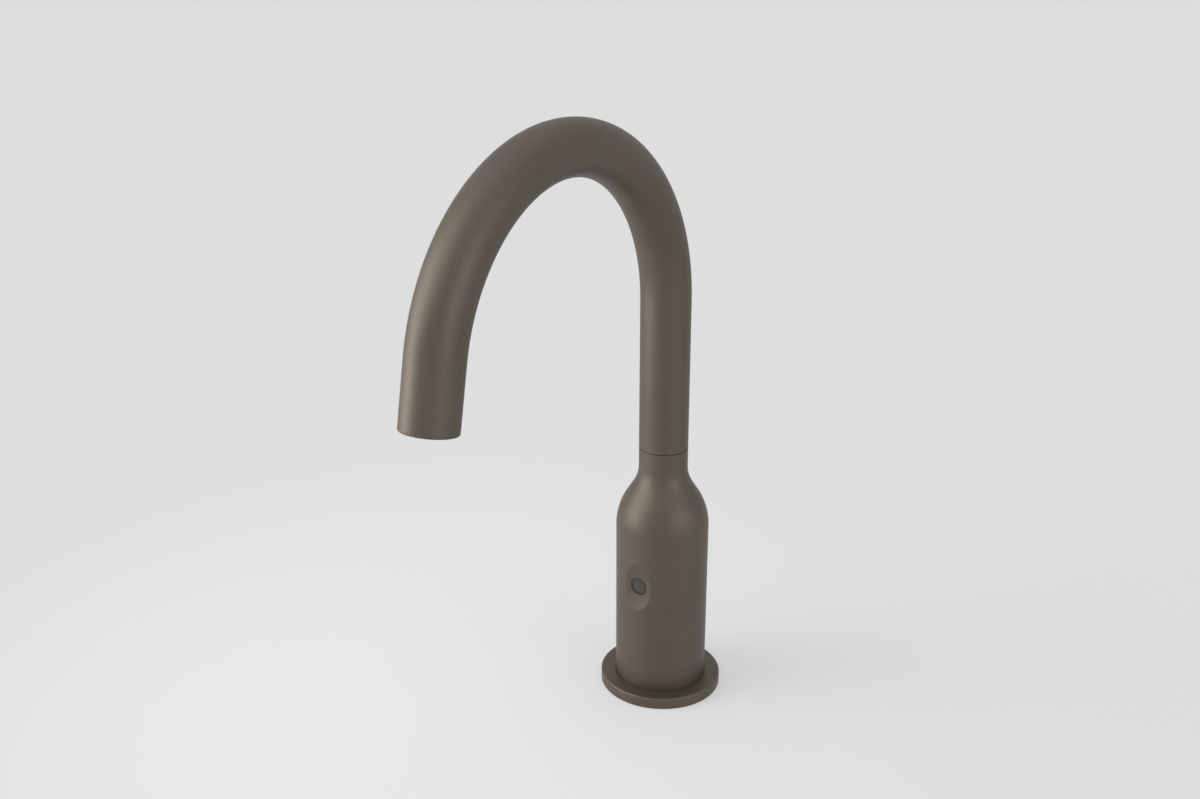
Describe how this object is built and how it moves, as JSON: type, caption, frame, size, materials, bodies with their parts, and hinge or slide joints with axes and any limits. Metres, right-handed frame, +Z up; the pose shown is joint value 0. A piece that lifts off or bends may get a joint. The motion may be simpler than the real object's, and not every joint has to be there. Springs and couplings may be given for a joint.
{
  "type": "sensor tap",
  "caption": "Deck-mounted touch-free basin tap with a bottle-shaped body, an infrared sensor eye in a shallow scoop and a swivelling gooseneck spout.",
  "frame": {"origin": "centre of the base flange's underside, on the top of the deck that the tap is mounted in", "axes": "+Z is up along the body's axis, the spout and the sensor eye point towards -Y, +X is to the right seen from the front"},
  "size_m": [0.064, 0.2192, 0.394],
  "materials": {
    "bronze": "brushed metal with a warm gunmetal-bronze coating, satin",
    "brass": "turned brass, bare",
    "steel": "stainless steel",
    "copper": "drawn copper",
    "rubber": "black sealing rubber",
    "black_plastic": "black moulded plastic",
    "white_plastic": "white moulded plastic",
    "grey_plastic": "grey moulded plastic",
    "lens": "dark infrared-clear plastic, polished",
    "board": "green circuit board",
    "cable": "black cable jacket"
  },
  "bodies": {
    "root": {"base_flange": "bronze", "base_seal": "rubber", "body_shell": "bronze", "centring_ring": "white_plastic", "check_spring": "steel", "check_valve_cage": "white_plastic", "coil": "black_plastic", "coil_lead": "cable", "coil_nut": "steel", "coil_yoke": "steel", "diaphragm": "rubber", "inlet_filter": "white_plastic", "inlet_nipple": "brass", "inlet_pipe": "copper", "inlet_seal": "rubber", "ir_emitter": "lens", "ir_receiver": "lens", "lead_plug": "black_plastic", "mounting_shank": "brass", "outlet_pipe": "copper", "plug_pins": "brass", "plunger_spring": "steel", "riser_seal": "rubber", "sensor_bezel": "black_plastic", "sensor_board": "board", "sensor_cover": "black_plastic", "sensor_gasket": "rubber", "sensor_housing": "black_plastic", "sensor_lead": "cable", "sensor_screws": "steel", "sensor_window": "lens", "shank_grommet": "rubber", "spout_grub_screw": "steel", "swivel_ring": "black_plastic", "valve_base_screws": "steel", "valve_body": "white_plastic", "valve_cover": "black_plastic", "valve_cover_screws": "steel"},
    "spout": {"spout_tube": "bronze", "spout_nipple": "brass", "nipple_orings": "rubber", "outlet_insert": "brass", "aerator_cartridge": "grey_plastic", "aerator_screen": "grey_plastic", "flow_regulator": "grey_plastic", "aerator_washer": "rubber"},
    "plunger": {"plunger": "steel"},
    "check_poppet": {"check_poppet": "white_plastic"},
    "back_nut": {"rubber_washer": "rubber", "steel_washer": "steel", "back_nut": "brass"}
  },
  "joints": [
    {"name": "spout_swivel", "type": "hinge", "parent": "root", "child": "spout", "pos_m": [0, 0, 0.137], "axis": [0, 0, 1], "range_deg": [-60, 60]},
    {"name": "valve_plunger", "type": "slide", "parent": "root", "child": "plunger", "axis": [0, 0, 1], "range_m": [0, 0.0015], "stiffness_N_per_m": 400, "springref_m": -0.002, "deforming": ["plunger_spring"]},
    {"name": "check_lift", "type": "slide", "parent": "root", "child": "check_poppet", "axis": [0, 0, 1], "range_m": [0, 0.002], "stiffness_N_per_m": 100, "springref_m": -0.003, "deforming": ["check_spring"]},
    {"name": "backnut_travel", "type": "slide", "parent": "root", "child": "back_nut", "axis": [0, 0, 1], "range_m": [-0.08, 0.015]}
  ]
}
